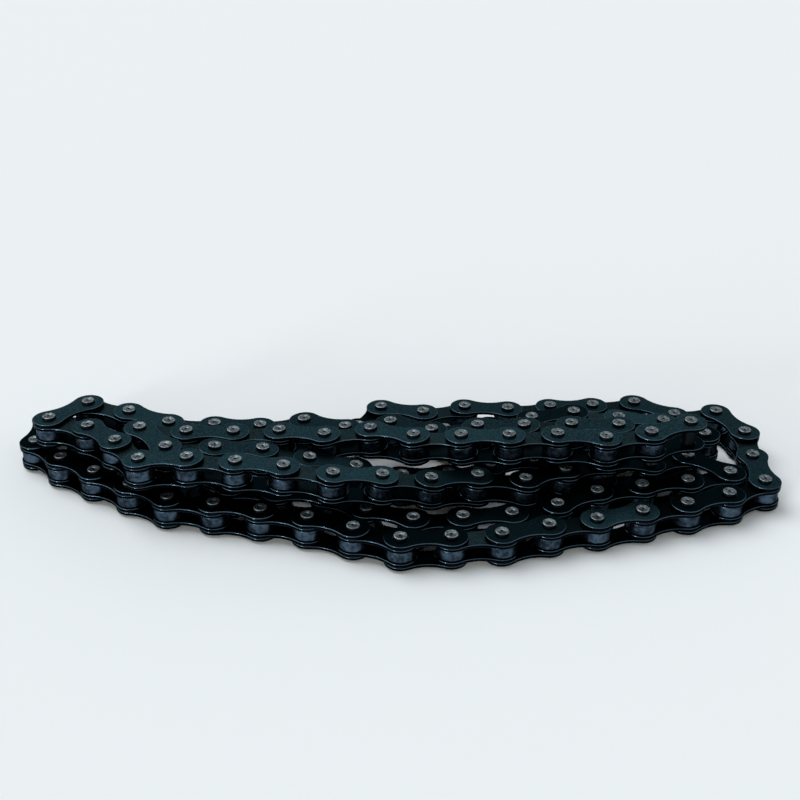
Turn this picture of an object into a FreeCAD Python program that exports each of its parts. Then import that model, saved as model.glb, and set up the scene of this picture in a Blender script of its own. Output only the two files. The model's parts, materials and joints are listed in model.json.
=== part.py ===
import FreeCAD, Part
import math
import os

import Sketcher

# A half-inch roller chain, open at both ends, lying on its side in a long flat heap.
# Lengths are millimetres and angles are degrees. X runs along the heap, Y across it, Z up.
# A link's own frame has its origin midway between its two pins, X along the link
# and Z along the pins. The floor is the plane Z = 0.

# Name, value and meaning of every size that can be set by itself.
SIZES = (
    ("pitch", 12.7, "pin centre to pin centre"),
    ("plate_depth", 8.6, "height of a side plate across its round ends"),
    ("waist_depth", 5.84, "height of a side plate at its waist"),
    ("plate_gauge", 0.9, "thickness of a side plate"),
    ("roller_space", 3.3, "clear width between the inner plates, where a tooth goes"),
    ("side_play", 0.2, "gap between an inner plate and the outer plate beside it"),
    ("pin_dia", 3.6, "diameter of a pin"),
    ("pin_stand", 0.75, "how far a pin stands out of its outer plate"),
    ("pin_edge", 0.2, "chamfer round a pin's end"),
    ("dimple_dia", 0.9, "mouth of the rivet dimple in a pin's end"),
    ("dimple_depth", 0.35, "depth of the rivet dimple"),
    ("pin_play", 0.1, "radial gap between a pin and its bush"),
    ("bush_wall", 0.6, "wall of a bush"),
    ("bush_recess", 0.4, "how far a bush ends short of its plate's outer face"),
    ("roller_dia", 7.75, "outer diameter of a roller"),
    ("roller_play", 0.1, "radial gap between a roller and its bush"),
    ("roller_end_play", 0.1, "gap between a roller and the inner plate at each end"),
    ("roller_edge", 0.2, "chamfer on a roller's outer edges"),
)

# How the chain lies, strand by strand: for each link in turn, the heading of the
# link in plan, in degrees from +X towards +Y, and how far it climbs, in thousandths
# of a pin's length. Each strand goes on from where the one before it ends.
# Even links of the whole chain are outer links and odd ones are inner links.
STRANDS = (
    ("rear_upper", (
        (175, -56), (179, -54), (173.5, -110), (183, -110), (153.5, -95), (186.5, -91),
        (158, -54), (194.5, 0), (180, 54), (182, 107), (159, 112), (162.5, 60), (227, 24),
        (339, 16),
    )),
    ("front_upper", (
        (317.5, 67), (310, 60), (358.5, 68), (350.5, 21), (352, -32), (349.5, -89), (5, -138),
        (4.5, -197), (16, -155), (358, -106), (28.5, -100), (27, -148), (5, -121), (23.5, -70),
        (320, -24),
    )),
    ("second_row", (
        (198, -9), (189, -24), (193, 0), (208.5, 0), (198.5, 0), (186.5, 0), (183.5, 0), (161, 0),
        (149, 0), (174.5, 0), (168, 0), (151.5, 0), (145, 0), (171, 0), (147, 0), (92.5, 0),
        (176.5, 0), (269.5, 0),
    )),
    ("front_row", (
        (317.5, 0), (327, 0), (329.5, 0), (330.5, 0), (347.5, 0), (347.5, 0), (345.5, 0),
        (338.5, 0), (339.5, 0), (3, 0), (5.5, 0), (16.5, 0), (12, 0), (16, 0), (16.5, 0), (20, 0),
        (29.5, 0),
    )),
    ("back_row", (
        (90.5, 0), (85.5, 0), (116, 0), (187.5, 0), (145.5, 0), (187.5, 0), (183, 0), (186.5, 0),
        (174.5, 0), (194, 0), (167.5, 0), (240, 10),
    )),
    ("middle_row", (
        (1, 47), (342, 94), (4.5, 93), (13.5, 70), (13, 16), (349.5, -44), (354, -52), (325, 8),
    )),
    ("lower_row", (
        (188.5, -32), (188, -83), (196.5, -55), (199.5, 0), (197, 59), (204, 117), (192, 122),
        (167.5, 128), (172, 180), (170, 162), (183.5, 120), (184, 67), (132.5, 37),
    )),
    ("top_row", (
        (355.5, -73), (3.5, -60), (2.5, -7), (349, 47), (6, 96), (336.5, 106), (352.5, 118),
        (355.5, 64), (2.5, 10), (352, 5), (11.5, 5), (24.5, 4),
    )),
)

# The links that are free to swing. The others are held by the strands around them.
REAR_END_LINKS = 2
TOP_END_LINKS = 4

# Axes of a sketch and points of its edges, as constraints number them.
SKETCH_X, SKETCH_Y = range(-1, -3, -1)
START, END, CENTRE = range(1, 4)


def make_sheet(doc):
    """The spreadsheet with the driving sizes."""
    sheet = doc.addObject("Spreadsheet::Sheet", "sizes")
    for row, (name, value, meaning) in enumerate(SIZES, start=1):
        sheet.set(f"A{row}", meaning)
        sheet.set(f"B{row}", str(value))
        sheet.setAlias(f"B{row}", name)
    doc.recompute()
    return sheet


def new_sketch(body, name, plane):
    """An empty sketch on one of the body's own origin planes."""
    sketch = body.newObject("Sketcher::SketchObject", name)
    support = next(f for f in body.Origin.OriginFeatures if f.Role == plane)
    sketch.AttachmentSupport = [(support, "")]
    sketch.MapMode = "FlatFace"
    return sketch


def bind(sketch, kind, where, value, expression):
    """Add a dimension to a sketch and tie it to the sheet."""
    index = sketch.addConstraint(Sketcher.Constraint(kind, *where, value))
    sketch.setExpression(f"Constraints[{index}]", expression)


def arc(centre_x, centre_y, radius, start, end):
    """An arc of a circle, from one angle to another, anticlockwise."""
    circle = Part.Circle(FreeCAD.Vector(centre_x, centre_y, 0), FreeCAD.Vector(0, 0, 1), radius)
    return Part.ArcOfCircle(circle, start, end)


def make_plate(doc, sheet, name, hole_radius):
    """A figure-of-eight side plate with two holes; it lies on its frame's XY plane."""
    body = doc.addObject("PartDesign::Body", name)
    sketch = new_sketch(body, name + "_outline", "XY_Plane")
    half_pitch = sheet.pitch / 2
    end_radius = sheet.plate_depth / 2
    half_waist = sheet.waist_depth / 2
    rise = half_pitch**2 + half_waist**2 - end_radius**2
    waist_radius = rise / (2 * (end_radius - half_waist))
    centre_y = half_waist + waist_radius
    turn = math.atan2(centre_y, half_pitch)
    left = sketch.addGeometry(arc(-half_pitch, 0, end_radius, turn, 2 * math.pi - turn))
    right = sketch.addGeometry(arc(half_pitch, 0, end_radius, turn - math.pi, math.pi - turn))
    upper = sketch.addGeometry(arc(0, centre_y, waist_radius, math.pi + turn, 2 * math.pi - turn))
    lower = sketch.addGeometry(arc(0, -centre_y, waist_radius, turn, math.pi - turn))
    for first, first_end, second, second_end in (
        (left, START, upper, START),
        (upper, END, right, END),
        (right, START, lower, START),
        (lower, END, left, END),
    ):
        sketch.addConstraint(Sketcher.Constraint("Tangent", first, first_end, second, second_end))
    sketch.addConstraint(Sketcher.Constraint("PointOnObject", left, CENTRE, SKETCH_X))
    sketch.addConstraint(Sketcher.Constraint("PointOnObject", right, CENTRE, SKETCH_X))
    sketch.addConstraint(Sketcher.Constraint("PointOnObject", upper, CENTRE, SKETCH_Y))
    bind(sketch, "Radius", (left,), end_radius, "sizes.plate_depth / 2")
    bind(sketch, "Radius", (upper,), waist_radius, WAIST_RADIUS)
    bind(sketch, "Radius", (lower,), waist_radius, WAIST_RADIUS)
    bind(sketch, "DistanceX", (SKETCH_X, START, right, CENTRE), half_pitch, "sizes.pitch / 2")
    bind(sketch, "DistanceX", (left, CENTRE, SKETCH_X, START), half_pitch, "sizes.pitch / 2")
    for end_arc in (left, right):
        centre = sketch.getPoint(end_arc, CENTRE)
        circle = Part.Circle(centre, FreeCAD.Vector(0, 0, 1), half_waist / 2)
        hole = sketch.addGeometry(circle)
        sketch.addConstraint(Sketcher.Constraint("Coincident", hole, CENTRE, end_arc, CENTRE))
        bind(sketch, "Radius", (hole,), half_waist / 2, hole_radius)
    pad = body.newObject("PartDesign::Pad", name + "_blank")
    pad.Profile = sketch
    pad.setExpression("Length", "sizes.plate_gauge")
    return body


def make_turned(doc, name, corners):
    """A round piece about the Z axis, turned from a closed profile of straight edges.

    Each corner is a radius and a height, as expressions and in order round the profile.
    """
    body = doc.addObject("PartDesign::Body", name)
    sketch = new_sketch(body, name + "_profile", "XZ_Plane")
    points = [FreeCAD.Vector(*(value_of(doc, text) for text in corner), 0) for corner in corners]
    count = len(points)
    for k in range(count):
        sketch.addGeometry(Part.LineSegment(points[k], points[(k + 1) % count]))
    for k in range(count):
        sketch.addConstraint(Sketcher.Constraint("Coincident", k, END, (k + 1) % count, START))
    for k, (radius, height) in enumerate(corners):
        where = (SKETCH_X, START, k, START)
        bind(sketch, "DistanceX", where, points[k].x, radius)
        bind(sketch, "DistanceY", where, points[k].y, height)
    turned = body.newObject("PartDesign::Revolution", name + "_turned")
    turned.Profile = sketch
    turned.ReferenceAxis = (sketch, ["V_Axis"])
    turned.Angle = 360
    return body


def value_of(doc, expression):
    """The number that an expression on the sheet's sizes comes to."""
    return float(doc.sizes.evalExpression(expression))


# Sizes that follow from others, as expressions on the sheet.
WAIST_RADIUS = (
    "((sizes.pitch / 2) ^ 2 + (sizes.waist_depth / 2) ^ 2 - (sizes.plate_depth / 2) ^ 2)"
    " / (sizes.plate_depth - sizes.waist_depth)"
)
PIN_RADIUS = "sizes.pin_dia / 2"
BORE_RADIUS = "(sizes.pin_dia / 2 + sizes.pin_play)"
BUSH_RADIUS = "(sizes.pin_dia / 2 + sizes.pin_play + sizes.bush_wall)"
ROLLER_BORE_RADIUS = "(" + BUSH_RADIUS + " + sizes.roller_play)"
ROLLER_RADIUS = "sizes.roller_dia / 2"
INNER_PLATE_Z = "sizes.roller_space / 2"
OUTER_PLATE_Z = "(sizes.roller_space / 2 + sizes.plate_gauge + sizes.side_play)"
PIN_HALF = "(" + OUTER_PLATE_Z + " + sizes.plate_gauge + sizes.pin_stand)"
BUSH_HALF = "(sizes.roller_space / 2 + sizes.plate_gauge - sizes.bush_recess)"
ROLLER_HALF = "(sizes.roller_space / 2 - sizes.roller_end_play)"


def make_pieces(doc, sheet):
    """One of each of the five pieces that a roller chain is made of."""
    pin_shoulder = f"{PIN_RADIUS} - sizes.pin_edge"
    pin_side = f"{PIN_HALF} - sizes.pin_edge"
    dimple_radius = "sizes.dimple_dia / 2"
    dimple_floor = f"{PIN_HALF} - sizes.dimple_depth"
    roller_shoulder = f"{ROLLER_RADIUS} - sizes.roller_edge"
    roller_side = f"{ROLLER_HALF} - sizes.roller_edge"
    return {
        "outer_plates": make_plate(doc, sheet, "outer_plate", PIN_RADIUS),
        "inner_plates": make_plate(doc, sheet, "inner_plate", BUSH_RADIUS),
        "pins": make_turned(doc, "pin", (
            ("0", f"-({dimple_floor})"),
            (dimple_radius, f"-{PIN_HALF}"),
            (pin_shoulder, f"-{PIN_HALF}"),
            (PIN_RADIUS, f"-({pin_side})"),
            (PIN_RADIUS, pin_side),
            (pin_shoulder, PIN_HALF),
            (dimple_radius, PIN_HALF),
            ("0", dimple_floor),
        )),
        "bushes": make_turned(doc, "bush", (
            (BORE_RADIUS, f"-{BUSH_HALF}"),
            (BUSH_RADIUS, f"-{BUSH_HALF}"),
            (BUSH_RADIUS, BUSH_HALF),
            (BORE_RADIUS, BUSH_HALF),
        )),
        "rollers": make_turned(doc, "roller", (
            (ROLLER_BORE_RADIUS, f"-{ROLLER_HALF}"),
            (roller_shoulder, f"-{ROLLER_HALF}"),
            (ROLLER_RADIUS, f"-({roller_side})"),
            (ROLLER_RADIUS, roller_side),
            (roller_shoulder, ROLLER_HALF),
            (ROLLER_BORE_RADIUS, ROLLER_HALF),
        )),
    }


def lay_pins(doc):
    """The centre of every pin, one pitch after another from the rear strand's free end."""
    pitch = value_of(doc, "sizes.pitch")
    layer = 2 * value_of(doc, PIN_HALF)
    pins = [FreeCAD.Vector(0, 0, 0)]
    for _, laid_links in STRANDS:
        for heading, climb in laid_links:
            rise = climb * layer / 1000
            run = math.sqrt(pitch**2 - rise**2)
            turn = math.radians(heading)
            pins.append(pins[-1] + FreeCAD.Vector(run * math.cos(turn), run * math.sin(turn), rise))
    return pins


def link_frames(pins):
    """The frame of each link: along it, level across it, and along its pins."""
    frames = []
    for first, second in zip(pins, pins[1:]):
        along = (second - first).normalize()
        across = FreeCAD.Vector(0, 0, 1).cross(along).normalize()
        turn = FreeCAD.Rotation(along, across, along.cross(across))
        frames.append(FreeCAD.Placement((first + second) / 2, turn))
    return frames


def in_link(frame, x, z):
    """The placement of a piece that stands at x and z in a link's frame."""
    return frame * FreeCAD.Placement(FreeCAD.Vector(x, 0, z), FreeCAD.Rotation())


def link_pieces(doc, frame, is_outer):
    """Where each piece of one link goes, as pairs of a kind and its placements."""
    half_pitch = value_of(doc, "sizes.pitch") / 2
    gauge = value_of(doc, "sizes.plate_gauge")
    plate_z = value_of(doc, OUTER_PLATE_Z if is_outer else INNER_PLATE_Z)
    plates = [in_link(frame, 0, plate_z), in_link(frame, 0, -plate_z - gauge)]
    ends = [in_link(frame, -half_pitch, 0), in_link(frame, half_pitch, 0)]
    if is_outer:
        return (("outer_plates", plates), ("pins", ends))
    return (("inner_plates", plates), ("bushes", ends), ("rollers", ends))


def sort_into_nodes(doc, frames):
    """Share the placements of every piece out between the nodes, by name and kind."""
    nodes = {}
    strand_of = [name for name, laid_links in STRANDS for _ in laid_links]
    last = len(frames) - 1
    for k, frame in enumerate(frames):
        is_outer = k % 2 == 0
        if k < REAR_END_LINKS:
            group = f"rear_end_link_{k + 1}"
        elif last - k < TOP_END_LINKS:
            group = f"top_end_link_{last - k + 1}"
        else:
            group = strand_of[k]
        for kind, placements in link_pieces(doc, frame, is_outer):
            if kind == "rollers" and "end_link" in group:
                nodes[group + "_roller_a"] = (kind, placements[:1])
                nodes[group + "_roller_b"] = (kind, placements[1:])
            else:
                nodes.setdefault(f"{group}_{kind}", (kind, []))[1].extend(placements)
    return nodes


def add_node(doc, label, piece, placements):
    """A sub-part: one piece, repeated at each of its placements."""
    node = doc.addObject("App::Link", label)
    node.Label = label
    node.LinkedObject = piece
    node.ShowElement = False
    node.ElementCount = len(placements)
    node.PlacementList = placements
    return node


def centre_on_origin(doc, nodes):
    """Move every node so that the heap stands on the floor, centred on the origin."""
    doc.recompute()
    heap = FreeCAD.BoundBox()
    for node in nodes:
        heap.add(Part.getShape(node).optimalBoundingBox(False))
    foot = FreeCAD.Vector(heap.Center.x, heap.Center.y, heap.ZMin)
    for node in nodes:
        node.Placement = FreeCAD.Placement(-foot, FreeCAD.Rotation())
    doc.recompute()


def check_and_export(doc, nodes):
    """Stop on any failed object, then write each node's shape to its own file."""
    for thing in doc.Objects:
        if "Invalid" in thing.State or "Error" in thing.State:
            raise RuntimeError(f"{thing.Label} failed: {thing.State}")
    os.makedirs("parts", exist_ok=True)
    for node in nodes:
        shape = Part.getShape(node)
        if shape.isNull() or not shape.isValid():
            raise RuntimeError(f"{node.Label} has no valid shape")
        shape.exportStep(os.path.join("parts", node.Label + ".step"))


def main():
    doc = FreeCAD.newDocument("roller_chain")
    sheet = make_sheet(doc)
    pieces = make_pieces(doc, sheet)
    doc.recompute()
    pins = lay_pins(doc)
    laid = sort_into_nodes(doc, link_frames(pins))
    nodes = [add_node(doc, label, pieces[kind], places) for label, (kind, places) in laid.items()]
    centre_on_origin(doc, nodes)
    check_and_export(doc, nodes)
    return doc


main()
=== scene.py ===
"""Dresses a half-inch roller chain that lies on its side in a long flat heap."""

import json
import math

import bmesh
import bpy
from mathutils import Matrix, Vector

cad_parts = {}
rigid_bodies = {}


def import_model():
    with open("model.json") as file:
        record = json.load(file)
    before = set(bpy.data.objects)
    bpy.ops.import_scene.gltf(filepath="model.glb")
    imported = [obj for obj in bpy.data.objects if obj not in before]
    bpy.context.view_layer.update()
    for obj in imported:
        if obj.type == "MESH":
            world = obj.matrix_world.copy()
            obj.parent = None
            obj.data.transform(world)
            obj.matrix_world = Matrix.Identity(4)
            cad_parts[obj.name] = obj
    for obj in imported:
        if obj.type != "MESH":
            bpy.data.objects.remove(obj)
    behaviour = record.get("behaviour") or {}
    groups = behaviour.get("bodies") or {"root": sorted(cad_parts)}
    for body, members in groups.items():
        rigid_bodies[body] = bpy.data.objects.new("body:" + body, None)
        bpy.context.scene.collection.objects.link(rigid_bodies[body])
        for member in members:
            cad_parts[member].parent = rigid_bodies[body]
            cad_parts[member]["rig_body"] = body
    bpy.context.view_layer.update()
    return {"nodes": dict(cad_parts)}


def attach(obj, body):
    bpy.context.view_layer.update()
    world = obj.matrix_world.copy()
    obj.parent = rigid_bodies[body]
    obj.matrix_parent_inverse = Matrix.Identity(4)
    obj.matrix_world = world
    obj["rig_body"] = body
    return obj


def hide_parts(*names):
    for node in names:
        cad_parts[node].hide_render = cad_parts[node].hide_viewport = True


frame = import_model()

bl_info = {
    "name": "Roller Chain Dresser",
    "version": (1, 0, 0),
    "blender": (4, 5, 0),
    "location": "3D View > Sidebar > Roller Chain",
    "description": "Gives the plates, pins, rollers and bushes of a roller chain their edges and finishes",
    "category": "Object",
}

MM = 0.001

# Vertices of the CAD that are nearer than this are one.
MERGE_GAP = 0.0005 * MM

# Faces that meet at less than this are one flat, and edges sharper than this are eased.
FLAT_ANGLE = math.radians(1)
RIM_ANGLE = math.radians(40)

# Steps of this size spread the tones of neighbouring solids.
GOLDEN = 0.6180339887

OUTER_PLATES = "outer_plates"
INNER_PLATES = "inner_plates"
PINS = "pins"
BUSHES = "bushes"
ROLLERS = ("rollers", "roller_a", "roller_b")

# Names of the mesh attributes that the finishes read.
TONE = "tone"
RIM = "rim"
# Marks the plate walls, which get painted shade.
WALL = "wall"
# Painted shade: how far each plate lies below the rows round it.
SHELTER_SHADE = "oil"
CROWN = "crown"

# Blackened steel reflects less at a grazing angle than bare metal.
GRAZING = (0.5, 0.5, 0.5)

# Lengths of the marks in the finishes: heat clouds, stains, speckles, hammer strokes and tool marks.
PLATE_CLOUD = 7 * MM
PLATE_STAIN = 1.1 * MM
PLATE_SPECKLE = 0.5 * MM
HAMMER_STROKE = 0.6 * MM
TOOL_MARK = 0.15 * MM
OXIDE_CLOUD = 5 * MM
OXIDE_MOTTLE = 1.3 * MM

# Depths of the unevenness of a speckled or mottled skin, and of a struck pin end.
SKIN_DEPTH = 0.02 * MM
STROKE_DEPTH = 0.08 * MM

# The least roughness of the oiled rollers and of the drier bushes.
ROLLER_ROUGHNESS = 0.19
BUSH_ROUGHNESS = 0.4

# The rays that see the room in the floor's plain colour.
SHARP_RAYS = ("Camera", "Glossy", "Transmission")

# Side of the squares, and squares to each side, in which the heap is searched for taller rows, for the
# painted shade of the plates that lie lower.
SQUARE = 4.5 * MM
SQUARES_AROUND = 2

# A face of a lying plate is a wall where its normal is nearer level than this, and the plates' finish
# gives walls painted shade.
WALL_STEEPNESS = math.cos(math.radians(60))


# ---------------------------------------------------------------- sizes and colours


class PlateSettings(bpy.types.PropertyGroup):
    """Edges and colours of the side plates."""

    edge: bpy.props.FloatProperty(
        name="Edge", description="Width of the tumbled edge round a plate",
        default=0.13 * MM, min=0.0, unit="LENGTH")
    outer_colour: bpy.props.FloatVectorProperty(
        name="Outer plates", description="Blued steel of the outer plates",
        default=(0.009, 0.027, 0.036), size=3, subtype="COLOR")
    inner_colour: bpy.props.FloatVectorProperty(
        name="Inner plates", description="Blued steel of the inner plates",
        default=(0.010, 0.022, 0.027), size=3, subtype="COLOR")
    stain_colour: bpy.props.FloatVectorProperty(
        name="Stain", description="Brownish stain that the heat leaves in the blued skin",
        default=(0.026, 0.032, 0.027), size=3, subtype="COLOR")
    # Painted shade: the plates' walls are painted near black, though they are the same blued steel as the
    # flats.
    wall_shade_colour: bpy.props.FloatVectorProperty(
        name="Walls", description="Oily black of the plates' sheared walls",
        default=(0.0015, 0.0020, 0.0028), size=3, subtype="COLOR")
    # Painted shade: a plate this far below the rows round it gets the full painted shade.
    shelter_height: bpy.props.FloatProperty(
        name="Oil height", description="Height of the rows round a plate that keeps all its oil",
        default=6.5 * MM, min=0.1 * MM, unit="LENGTH")
    # Painted shade: brightness of a flat under the full painted shade.
    shelter_brightness: bpy.props.FloatProperty(
        name="Oil shade", description="Brightness of an oily flat beside a dry one",
        default=0.15, min=0.0, max=1.0, subtype="FACTOR")
    rim_colour: bpy.props.FloatVectorProperty(
        name="Rim", description="Steel that shows through where an edge is rubbed",
        default=(0.050, 0.085, 0.115), size=3, subtype="COLOR")


class PinSettings(bpy.types.PropertyGroup):
    """Shape and colours of the riveted pins."""

    segments: bpy.props.IntProperty(
        name="Segments", description="Sides of a pin's round", default=28, min=8)
    ring_width: bpy.props.FloatProperty(
        name="Ring", description="Width of the raised ring round a pin's end",
        default=0.25 * MM, min=0.0, unit="LENGTH")
    ring_rise: bpy.props.FloatProperty(
        name="Ring rise", description="Depth of the riveter's mark inside the ring",
        default=0.03 * MM, min=0.0, unit="LENGTH")
    head_colour: bpy.props.FloatVectorProperty(
        name="Head", description="Steel of the pin ends, polished by the riveter",
        default=(0.175, 0.205, 0.22), size=3, subtype="COLOR")
    side_colour: bpy.props.FloatVectorProperty(
        name="Side", description="Oiled steel of the pin sides",
        default=(0.018, 0.024, 0.031), size=3, subtype="COLOR")


class RollerSettings(bpy.types.PropertyGroup):
    """Edges and colours of the rollers and bushes."""

    edge: bpy.props.FloatProperty(
        name="Edge", description="Rounding on a roller's chamfer",
        default=0.07 * MM, min=0.0, unit="LENGTH")
    roller_colour: bpy.props.FloatVectorProperty(
        name="Rollers", description="Black oxide of the rollers",
        default=(0.052, 0.082, 0.118), size=3, subtype="COLOR")
    bush_colour: bpy.props.FloatVectorProperty(
        name="Bushes", description="Dark hardened steel of the bushes",
        default=(0.006, 0.008, 0.011), size=3, subtype="COLOR")


class StageSettings(bpy.types.PropertyGroup):
    """Floor, light and camera."""

    floor_colour: bpy.props.FloatVectorProperty(
        name="Floor", description="Pale table that the chain lies on",
        default=(0.831, 0.880, 0.896), size=3, subtype="COLOR")
    floor_size: bpy.props.FloatProperty(
        name="Floor size", description="Length of the floor's side",
        default=6.0, min=1.0, unit="LENGTH")
    horizon_colour: bpy.props.FloatVectorProperty(
        name="Horizon light", description="Light that the room gives near its horizon",
        default=(0.92, 0.86, 0.68), size=3, subtype="COLOR")
    ceiling_colour: bpy.props.FloatVectorProperty(
        name="Ceiling light", description="Light that the room gives from above",
        default=(0.229, 0.257, 0.342), size=3, subtype="COLOR")
    key_strength: bpy.props.FloatProperty(
        name="Key light", description="Strength of the broad lamp behind the chain, at the left",
        default=1.74, min=0.0)
    key_spread: bpy.props.FloatProperty(
        name="Key spread", description="Angle that the broad lamp covers",
        default=math.radians(50), subtype="ANGLE")
    key_from: bpy.props.FloatVectorProperty(
        name="Key from", description="Direction that the broad lamp shines from",
        default=(-0.44, 0.25, 0.86), size=3, subtype="DIRECTION")
    fill_strength: bpy.props.FloatProperty(
        name="Fill light", description="Strength of the low lamp at the front left",
        default=1.7, min=0.0)
    fill_spread: bpy.props.FloatProperty(
        name="Fill spread", description="Angle that the low lamp covers",
        default=math.radians(12), subtype="ANGLE")
    fill_from: bpy.props.FloatVectorProperty(
        name="Fill from", description="Direction that the low lamp shines from",
        default=(-0.62, -0.77, 0.14), size=3, subtype="DIRECTION")
    camera_tilt: bpy.props.FloatProperty(
        name="Camera tilt", description="Angle that the camera looks down at",
        default=math.radians(29.42), subtype="ANGLE")
    camera_reach: bpy.props.FloatProperty(
        name="Camera reach", description="Distance from the camera to the point it looks at",
        default=372.6 * MM, unit="LENGTH")
    camera_aim: bpy.props.FloatVectorProperty(
        name="Camera aim", description="Point of the floor that the camera looks at",
        default=(2.2 * MM, 49.6 * MM, 0.0), size=3, subtype="TRANSLATION", unit="LENGTH")
    camera_lens: bpy.props.FloatProperty(
        name="Lens", description="Focal length, in millimetres, on a 36 mm sensor",
        default=53.69, min=10.0)


# ---------------------------------------------------------------- shader maths


class Value:
    """A shader socket that takes part in sums the way a number does."""

    def __init__(self, graph, socket):
        self.graph = graph
        self.socket = socket

    def combine(self, operation, first, second):
        node = self.graph.node("ShaderNodeMath", {"operation": operation}, {0: first, 1: second})
        return Value(self.graph, node.outputs[0])

    def __add__(self, other):
        return self.combine("ADD", self, other)

    __radd__ = __add__

    def __sub__(self, other):
        return self.combine("SUBTRACT", self, other)

    def __rsub__(self, other):
        return self.combine("SUBTRACT", other, self)

    def __mul__(self, other):
        return self.combine("MULTIPLY", self, other)

    __rmul__ = __mul__


class Graph:
    """The node tree of a material or world under construction."""

    def __init__(self, owner):
        owner.use_nodes = True
        self.tree = owner.node_tree
        self.tree.nodes.clear()

    def node(self, kind, settings=None, sockets=None):
        """A new node: its settings first, then the values or links of its sockets."""
        node = self.tree.nodes.new(kind)
        for name, setting in (settings or {}).items():
            setattr(node, name, setting)
        for name, given in (sockets or {}).items():
            self.feed(node.inputs[name], given)
        return node

    def feed(self, socket, given):
        """Link a socket to another node's output, or set it to a number or colour."""
        if isinstance(given, Value):
            given = given.socket
        if isinstance(given, bpy.types.NodeSocket):
            self.tree.links.new(given, socket)
        elif hasattr(given, "__len__") and len(given) == 3 and len(socket.default_value) == 4:
            socket.default_value = (*given, 1.0)
        else:
            socket.default_value = given

    def between(self, value, low, high):
        """How far a value is from low to high, as 0 to 1."""
        sockets = {"Value": value, "From Min": low, "From Max": high}
        settings = {"interpolation_type": "SMOOTHSTEP", "clamp": True}
        return Value(self, self.node("ShaderNodeMapRange", settings, sockets).outputs[0])

    def mix(self, factor, first, second):
        """A colour between two colours."""
        node = self.node("ShaderNodeMix", {"data_type": "RGBA"}, {"Factor": factor})
        colours = [s for s in node.inputs if s.type == "RGBA"]
        self.feed(colours[0], first)
        self.feed(colours[1], second)
        return next(s for s in node.outputs if s.type == "RGBA")


class Finish(Graph):
    """A material under construction, with one Principled shader at its end."""

    def __init__(self, name):
        self.material = bpy.data.materials.new(name)
        super().__init__(self.material)
        self.shader = self.node("ShaderNodeBsdfPrincipled")
        self.node("ShaderNodeOutputMaterial", {}, {"Surface": self.shader.outputs[0]})
        self.place = self.node("ShaderNodeTexCoord").outputs["Object"]

    def set(self, **sockets):
        """Set or link the Principled shader's own sockets; an underscore stands for a space."""
        for name, given in sockets.items():
            self.feed(self.shader.inputs[name.replace("_", " ")], given)

    def noise(self, size, detail, roughness=0.55):
        """A noise from 0 to 1 whose blotches are about as long as size, in metres."""
        sockets = {"Vector": self.place, "Scale": 1 / size, "Detail": detail, "Roughness": roughness}
        return Value(self, self.node("ShaderNodeTexNoise", {}, sockets).outputs["Fac"])

    def attribute(self, name):
        """A mesh attribute, as a value."""
        node = self.node("ShaderNodeAttribute", {"attribute_name": name})
        return Value(self, node.outputs["Fac"])

    def bump(self, height, depth, strength):
        """Give the shader a bump of a height from 0 to 1, depth metres deep."""
        sockets = {"Height": height, "Distance": depth, "Strength": strength}
        self.set(Normal=self.node("ShaderNodeBump", {}, sockets).outputs[0])


def shade(colour, factor):
    """A colour made darker or lighter by a factor."""
    return tuple(channel * factor for channel in colour)


def blued_steel(name, colour, settings):
    """Blued plate steel: stained and speckled flats, rubbed edges, walls painted near black as painted
    shade, and flats darkened as painted shade where they lie lower than the rows round them.
    """
    finish = Finish(name)
    cloud = finish.noise(PLATE_CLOUD, detail=3)
    blotch = finish.noise(PLATE_STAIN, detail=3, roughness=0.7)
    grain = finish.noise(PLATE_SPECKLE, detail=3, roughness=0.7)
    tone = finish.attribute(TONE)
    wall = finish.attribute(WALL)
    depth = finish.between(0.5 * cloud + 0.5 * tone, 0.2, 0.8)
    body = finish.mix(depth, shade(colour, 0.75), shade(colour, 1.25))
    stained = finish.mix(finish.between(blotch, 0.42, 0.6) * 0.5, body, settings.stain_colour)
    speckled = finish.mix(finish.between(grain, 0.45, 0.6) * 0.6, stained, shade(colour, 2.3))
    # Painted shade: flats that lie lower than the rows round them are darkened.
    shelter_shaded = finish.mix(finish.attribute(SHELTER_SHADE), speckled, shade(colour, settings.shelter_brightness))
    # Painted shade: the walls are painted near black, though they are the same steel as the flats.
    wall_shaded = finish.mix(wall, shelter_shaded, settings.wall_shade_colour)
    rubbed = finish.attribute(RIM) * finish.between(0.6 * cloud + 0.5 * grain, 0.25, 0.6)
    finish.set(Base_Color=finish.mix(rubbed, wall_shaded, settings.rim_colour), Metallic=1.0)
    finish.set(Roughness=0.22 + 0.12 * grain - 0.08 * rubbed, Specular_Tint=GRAZING)
    finish.bump(grain, SKIN_DEPTH, 0.3)
    return finish.material


def pin_steel(name, head_colour, side_colour):
    """Pin steel: oiled dark on its side, struck bright on its end, with a matt dimple."""
    finish = Finish(name)
    crown = finish.attribute(CROWN)
    strokes = finish.noise(HAMMER_STROKE, detail=2)
    grain = finish.noise(TOOL_MARK, detail=2)
    struck = finish.between(strokes, 0.4, 0.6)
    head = finish.mix(struck, shade(head_colour, 0.4), shade(head_colour, 1.2))
    pit = finish.between(crown, 0.0, -0.8)
    finish.set(Base_Color=finish.mix(crown, side_colour, head), Metallic=1.0)
    finish.set(Roughness=0.28 + 0.2 * grain + 0.5 * pit, Specular_Tint=GRAZING)
    finish.bump(strokes, STROKE_DEPTH, 0.5)
    return finish.material


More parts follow.
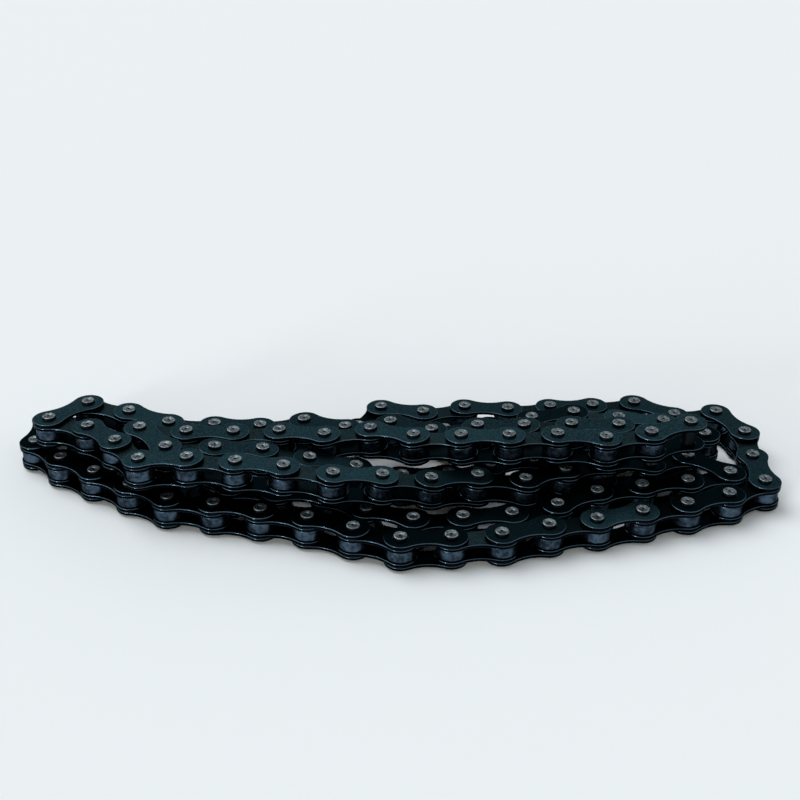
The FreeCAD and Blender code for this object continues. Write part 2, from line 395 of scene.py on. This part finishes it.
def oxide_black(name, colour, roughness):
    """Black oxide, mottled, with a thin film of oil."""
    finish = Finish(name)
    mottle = finish.noise(OXIDE_MOTTLE, detail=4)
    cloud = finish.noise(OXIDE_CLOUD, detail=2)
    depth = finish.between(0.6 * mottle + 0.4 * cloud, 0.38, 0.62)
    finish.set(Base_Color=finish.mix(depth, shade(colour, 0.3), shade(colour, 1.3)), Metallic=1.0)
    finish.set(Roughness=roughness + 0.18 * mottle, Specular_Tint=GRAZING)
    finish.bump(mottle, SKIN_DEPTH, 0.25)
    return finish.material


# ---------------------------------------------------------------- pieces


def nodes_of(*kinds):
    """The CAD nodes of some kinds, by name, in order."""
    return [(n, node) for n, node in sorted(frame["nodes"].items()) if n.endswith(kinds)]


def merged_copy(node):
    """A CAD node, whose triangles are loose, as a bmesh of closed solids."""
    mesh = bmesh.new()
    mesh.from_mesh(node.data)
    bmesh.ops.remove_doubles(mesh, verts=mesh.verts, dist=MERGE_GAP)
    return mesh


def solids_of(mesh):
    """The vertices of each separate solid of a bmesh, in order."""
    solids = []
    seen = set()
    for first in mesh.verts:
        if first in seen:
            continue
        solid = []
        front = [first]
        seen.add(first)
        while front:
            vertex = front.pop()
            solid.append(vertex)
            for edge in vertex.link_edges:
                other = edge.other_vert(vertex)
                if other not in seen:
                    seen.add(other)
                    front.append(other)
        solids.append(solid)
    return solids


def tone_of(index):
    """A steady spread of numbers from 0 to 1, one for each solid of a node."""
    return (index * GOLDEN) % 1.0


def flatten_faces(mesh):
    """Join the triangles of each flat face and each strip of a round wall."""
    bmesh.ops.dissolve_limit(
        mesh, angle_limit=FLAT_ANGLE, verts=mesh.verts, edges=mesh.edges, delimit={"NORMAL"})


def mark_walls(mesh):
    """Tell the upright faces of a lying plate or roller from its flats, for the painted shade that the
    plates' finish gives the walls.
    """
    wall = mesh.faces.layers.float.new(WALL)
    for face in mesh.faces:
        face[wall] = 1.0 if abs(face.normal.z) < WALL_STEEPNESS else 0.0


def ease_edges(mesh, width):
    """Round every sharp edge, and mark the new rim for the finish."""
    rim = mesh.faces.layers.float.new(RIM)
    sharp = [e for e in mesh.edges if len(e.link_faces) == 2 and e.calc_face_angle() > RIM_ANGLE]
    rounded = bmesh.ops.bevel(
        mesh, geom=sharp, offset=width, segments=2, profile=0.5, affect="EDGES", material=-1,
        clamp_overlap=True)
    for face in rounded["faces"]:
        face[rim] = 1.0


def finish_piece(mesh, node_name, material):
    """Turn a bmesh into the piece that is shown for a CAD node."""
    for face in mesh.faces:
        face.smooth = True
    label = node_name + "_dressed"
    data = bpy.data.meshes.new(label)
    mesh.to_mesh(data)
    mesh.free()
    piece = bpy.data.objects.new(label, data)
    bpy.context.scene.collection.objects.link(piece)
    data.materials.append(material)
    even = piece.modifiers.new("even_shading", "WEIGHTED_NORMAL")
    even.keep_sharp = True
    node = frame["nodes"][node_name]
    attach(piece, node["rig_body"])
    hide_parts(node_name)


def square_of(point):
    """The square of the floor that a point lies over, as its column and row."""
    return math.floor(point.x / SQUARE), math.floor(point.y / SQUARE)


def heap_tops():
    """The height of the heap in each square of the floor."""
    tops = {}
    for _, node in nodes_of(OUTER_PLATES, INNER_PLATES):
        for vertex in node.data.vertices:
            square = square_of(vertex.co)
            tops[square] = max(tops.get(square, 0.0), vertex.co.z)
    return tops


def paint_shelter_shade(mesh, tops, shelter_height):
    """Mark how far each solid lies below the rows round it, for the painted shade that the finish gives
    it.
    """
    # Painted shade: how far each solid lies below the rows round it, from 0 to 1.
    oil = mesh.verts.layers.float.new(SHELTER_SHADE)
    reach = range(-SQUARES_AROUND, SQUARES_AROUND + 1)
    for solid in solids_of(mesh):
        middle = sum((vertex.co for vertex in solid), Vector()) / len(solid)
        column, row = square_of(middle)
        around = max(tops.get((column + i, row + j), 0.0) for i in reach for j in reach)
        sheltered = (around - max(vertex.co.z for vertex in solid)) / shelter_height
        for vertex in solid:
            vertex[oil] = min(1.0, sheltered)


def eased_piece(node_name, mesh, width, material):
    """A copy of a CAD node with rounded edges and a tone for each of its solids."""
    flatten_faces(mesh)
    tone = mesh.verts.layers.float.new(TONE)
    for index, solid in enumerate(solids_of(mesh)):
        for vertex in solid:
            vertex[tone] = tone_of(index)
    mark_walls(mesh)
    ease_edges(mesh, width)
    finish_piece(mesh, node_name, material)


def pin_axis(solid):
    """The middle of a pin and the direction it points, from the tips of its two dimples."""
    tips = sorted(solid, key=lambda vertex: len(vertex.link_edges))[-2:]
    first, second = sorted((tip.co for tip in tips), key=lambda point: point.z)
    return (first + second) / 2, (second - first).normalized()


def pin_master(solid, settings):
    """One riveted pin standing on the Z axis, as long and as thick as a solid of the CAD.

    Each corner of the outline has a reach from the axis, a height and a brightness for the
    finish: 1 on the struck end, 0 on the oiled side and below 0 in the matt dimple.
    """
    middle, axis = pin_axis(solid)
    heights = [(vertex.co - middle).dot(axis) for vertex in solid]
    reaches = [(vertex.co - middle).cross(axis).length for vertex in solid]
    half = max(heights)
    radius = max(reaches)
    mouth = min(r for r, h in zip(reaches, heights) if abs(h - half) < MERGE_GAP)
    floor = max(h for r, h in zip(reaches, heights) if r < MERGE_GAP)
    edge = min(h for r, h in zip(reaches, heights) if h > 0 and radius - r < MERGE_GAP)
    chamfer = half - edge
    pit = half - floor
    ring = radius - chamfer - settings.ring_width
    sunk = half - settings.ring_rise
    outline = (
        (0.0, floor, -1.0),
        (mouth * 0.5, floor + pit * 0.5, -1.0),
        (mouth * 0.8, floor + pit * 0.8, -0.6),
        (mouth * 0.9, sunk, 0.7),
        (ring, sunk, 0.75),
        (ring + settings.ring_width * 0.5, half, 1.0),
        (radius - chamfer, half, 1.0),
        (radius - chamfer * 0.55, half - chamfer * 0.2, 1.0),
        (radius - chamfer * 0.2, half - chamfer * 0.55, 0.0),
        (radius, edge, 0.0),
    )
    mesh = bmesh.new()
    crown = mesh.verts.layers.float.new(CROWN)
    vertices = []
    for side, corners in ((1, outline), (-1, reversed(outline))):
        for reach, height, brightness in corners:
            vertices.append(mesh.verts.new((reach, 0.0, side * height)))
            vertices[-1][crown] = brightness
    edges = [mesh.edges.new(pair) for pair in zip(vertices, vertices[1:])]
    bmesh.ops.spin(
        mesh, geom=vertices + edges, cent=(0, 0, 0), axis=(0, 0, 1), angle=2 * math.pi,
        steps=settings.segments, use_merge=True)
    bmesh.ops.remove_doubles(mesh, verts=mesh.verts, dist=MERGE_GAP)
    bmesh.ops.recalc_face_normals(mesh, faces=mesh.faces)
    data = bpy.data.meshes.new("riveted_pin")
    mesh.to_mesh(data)
    mesh.free()
    return data


# ---------------------------------------------------------------- operators


class CHAIN_OT_plates(bpy.types.Operator):
    """Give the outer and inner plates their tumbled edges and blued finish, with painted shade on their
    walls and on the plates that lie lower than the rows round them
    """

    bl_idname = "chain.plates"
    bl_label = "Plates"

    def execute(self, context):
        settings = context.scene.chain_plates
        tops = heap_tops()
        colours = {OUTER_PLATES: settings.outer_colour, INNER_PLATES: settings.inner_colour}
        for kind, colour in colours.items():
            material = blued_steel(kind + "_blued", colour, settings)
            for name, node in nodes_of(kind):
                mesh = merged_copy(node)
                # Painted shade for the plates that lie lower than the rows round them.
                paint_shelter_shade(mesh, tops, settings.shelter_height)
                eased_piece(name, mesh, settings.edge, material)
        return {"FINISHED"}


class CHAIN_OT_pins(bpy.types.Operator):
    """Replace the plain pins by riveted ones"""

    bl_idname = "chain.pins"
    bl_label = "Pins"

    def execute(self, context):
        settings = context.scene.chain_pins
        material = pin_steel("pin_ends_polished", settings.head_colour, settings.side_colour)
        master = None
        for name, node in nodes_of(PINS):
            source = merged_copy(node)
            mesh = bmesh.new()
            for solid in solids_of(source):
                if master is None:
                    master = pin_master(solid, settings)
                middle, axis = pin_axis(solid)
                count = len(mesh.verts)
                mesh.from_mesh(master)
                mesh.verts.ensure_lookup_table()
                turn = Vector((0, 0, 1)).rotation_difference(axis).to_matrix().to_4x4()
                bmesh.ops.transform(
                    mesh, matrix=Matrix.Translation(middle) @ turn, verts=mesh.verts[count:])
            source.free()
            finish_piece(mesh, name, material)
        return {"FINISHED"}


class CHAIN_OT_rollers(bpy.types.Operator):
    """Give the rollers and bushes their rounded edges and black finish"""

    bl_idname = "chain.rollers"
    bl_label = "Rollers and bushes"

    def execute(self, context):
        settings = context.scene.chain_rollers
        roller_finish = oxide_black("roller_oxide", settings.roller_colour, ROLLER_ROUGHNESS)
        bush_finish = oxide_black("bush_oxide", settings.bush_colour, BUSH_ROUGHNESS)
        for name, node in nodes_of(*ROLLERS):
            eased_piece(name, merged_copy(node), settings.edge, roller_finish)
        for name, node in nodes_of(BUSHES):
            eased_piece(name, merged_copy(node), settings.edge, bush_finish)
        return {"FINISHED"}


class CHAIN_OT_stage(bpy.types.Operator):
    """Lay the floor, hang the lamps and set up the camera"""

    bl_idname = "chain.stage"
    bl_label = "Stage"

    def execute(self, context):
        settings = context.scene.chain_stage
        lay_floor(settings)
        light_room(context.scene, settings)
        hang_lamps(settings)
        set_camera(context.scene, settings)
        context.scene.view_settings.view_transform = "Standard"
        return {"FINISHED"}


# ---------------------------------------------------------------- stage


def lay_floor(settings):
    """A pale floor that keeps the chain's shadow."""
    mesh = bmesh.new()
    bmesh.ops.create_grid(mesh, x_segments=1, y_segments=1, size=settings.floor_size / 2)
    data = bpy.data.meshes.new("floor")
    mesh.to_mesh(data)
    mesh.free()
    floor = bpy.data.objects.new("floor", data)
    bpy.context.scene.collection.objects.link(floor)
    finish = Finish("floor_matte")
    finish.set(Base_Color=settings.floor_colour, Roughness=0.9, Specular_IOR_Level=0.1)
    data.materials.append(finish.material)


def light_room(scene, settings):
    """A pale room, warm near its horizon, that the camera and the metal see in the floor's colour."""
    world = bpy.data.worlds.new("room")
    graph = Graph(world)
    heading = graph.node("ShaderNodeTexCoord").outputs["Generated"]
    height = graph.node("ShaderNodeSeparateXYZ", {}, {"Vector": heading}).outputs["Z"]
    light = graph.mix(
        graph.between(height, 0.35, 0.75), settings.horizon_colour, settings.ceiling_colour)
    lit = graph.node("ShaderNodeBackground", {}, {"Color": light})
    seen = graph.node("ShaderNodeBackground", {}, {"Color": settings.floor_colour})
    rays = graph.node("ShaderNodeLightPath")
    plain = sum(Value(graph, rays.outputs[f"Is {kind} Ray"]) for kind in SHARP_RAYS)
    mixed = graph.node("ShaderNodeMixShader", {}, {0: plain, 1: lit.outputs[0], 2: seen.outputs[0]})
    graph.node("ShaderNodeOutputWorld", {}, {"Surface": mixed.outputs[0]})
    scene.world = world


def hang_lamp(name, direction, strength, spread):
    """A far lamp that shines from a direction and covers an angle of the room."""
    data = bpy.data.lights.new(name, "SUN")
    data.energy = strength
    data.angle = spread
    lamp = bpy.data.objects.new(name, data)
    lamp.rotation_euler = Vector(direction).to_track_quat("Z", "Y").to_euler()
    bpy.context.scene.collection.objects.link(lamp)


def hang_lamps(settings):
    """A broad key behind and above the chain, and a low fill at the front left."""
    hang_lamp("key_lamp", settings.key_from, settings.key_strength, settings.key_spread)
    hang_lamp("fill_lamp", settings.fill_from, settings.fill_strength, settings.fill_spread)


def set_camera(scene, settings):
    """The camera looks along +Y, down at the floor just behind the heap."""
    aim = Vector(settings.camera_aim)
    back = Vector((0, -math.cos(settings.camera_tilt), math.sin(settings.camera_tilt)))
    data = bpy.data.cameras.new("camera")
    data.lens = settings.camera_lens
    data.sensor_width = 36.0
    data.clip_start = 0.01
    camera = bpy.data.objects.new("camera", data)
    camera.location = aim + back * settings.camera_reach
    camera.rotation_euler = (math.pi / 2 - settings.camera_tilt, 0, 0)
    scene.collection.objects.link(camera)
    scene.camera = camera


# ---------------------------------------------------------------- sidebar and start


class CHAIN_PT_sidebar(bpy.types.Panel):
    """The steps, in order, with their settings"""

    bl_idname = "CHAIN_PT_sidebar"
    bl_label = "Roller Chain"
    bl_space_type = "VIEW_3D"
    bl_region_type = "UI"
    bl_category = "Roller Chain"

    def draw(self, context):
        for operator, group in STEPS:
            box = self.layout.box()
            box.operator(operator.bl_idname)
            settings = getattr(context.scene, group)
            for name in settings.__annotations__:
                box.prop(settings, name)


GROUPS = {
    "chain_plates": PlateSettings,
    "chain_pins": PinSettings,
    "chain_rollers": RollerSettings,
    "chain_stage": StageSettings,
}
STEPS = (
    (CHAIN_OT_stage, "chain_stage"),
    (CHAIN_OT_plates, "chain_plates"),
    (CHAIN_OT_pins, "chain_pins"),
    (CHAIN_OT_rollers, "chain_rollers"),
)


def register():
    for group in GROUPS.values():
        bpy.utils.register_class(group)
    for operator, _ in STEPS:
        bpy.utils.register_class(operator)
    bpy.utils.register_class(CHAIN_PT_sidebar)
    for name, group in GROUPS.items():
        setattr(bpy.types.Scene, name, bpy.props.PointerProperty(type=group))


def unregister():
    for name in GROUPS:
        delattr(bpy.types.Scene, name)
    bpy.utils.unregister_class(CHAIN_PT_sidebar)
    for operator, _ in STEPS:
        bpy.utils.unregister_class(operator)
    for group in GROUPS.values():
        bpy.utils.unregister_class(group)


def main():
    register()
    bpy.ops.chain.stage()
    bpy.ops.chain.plates()
    bpy.ops.chain.pins()
    bpy.ops.chain.rollers()


if __name__ == "__main__":
    main()
